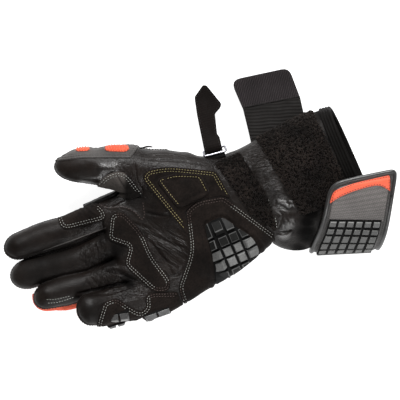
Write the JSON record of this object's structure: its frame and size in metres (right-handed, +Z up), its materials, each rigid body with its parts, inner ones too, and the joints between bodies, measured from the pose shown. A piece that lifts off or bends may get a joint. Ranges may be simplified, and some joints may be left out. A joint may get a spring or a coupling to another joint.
{
  "type": "motorcycle glove",
  "caption": "Right-hand gauntlet motorcycle glove, palm up with its closures open: hollow leather fingers, thumb, hand and cuff, suede palm patches, hard sliders, strap, tab and flap.",
  "frame": {"origin": "centre of the outline on the surface that the glove lies on", "axes": "+X from the fingers to the open cuff, +Y to the thumb side, +Z up out of the palm"},
  "size_m": [0.3411, 0.1938, 0.0731],
  "materials": {
    "black_leather": "soft satin leather with a fine grain",
    "brown_suede": "matt suede nap",
    "grey_leather": "satin leather with a fine grain",
    "red_leather": "satin leather",
    "flap_grey": "pebbled leather",
    "loop_pile": "short looped pile",
    "hook_tape": "woven tape with hooks",
    "elastic": "ribbed elastic",
    "webbing": "black webbing",
    "slider_grey": "moulded, slightly glossy",
    "silver_wire": "bright"
  },
  "bodies": {
    "root": {"hand_shell": "black_leather", "cuff_shell": "black_leather", "index_finger": "black_leather", "middle_finger": "black_leather", "ring_finger": "black_leather", "little_finger": "black_leather", "thumb_shell": "black_leather", "cuff_binding": "black_leather", "index_edge_strip": "black_leather", "index_patch": "brown_suede", "palm_centre_patch": "brown_suede", "thenar_patch": "brown_suede", "thenar_pad": "brown_suede", "palm_heel_patch": "brown_suede", "thumb_web_patch": "brown_suede", "ulnar_patch": "brown_suede", "thumb_back_panel": "grey_leather", "ring_back_panel": "red_leather", "thumb_red_pad_front": "red_leather", "thumb_red_pad_rear": "red_leather", "flap_red_stripe": "red_leather", "wrist_loop_band": "loop_pile", "cuff_loop_panel": "loop_pile", "wrist_strap": "hook_tape", "tab_hook_patch": "hook_tape", "tab_elastic": "elastic", "ring_keeper": "webbing", "strap_ring": "silver_wire", "outer_flap": "flap_grey", "flap_piping": "black_leather", "flap_slider": "slider_grey", "palm_slider": "slider_grey", "edge_stud_front": "slider_grey", "edge_stud_side": "slider_grey", "edge_stud_rear": "slider_grey"}
  },
  "joints": []
}
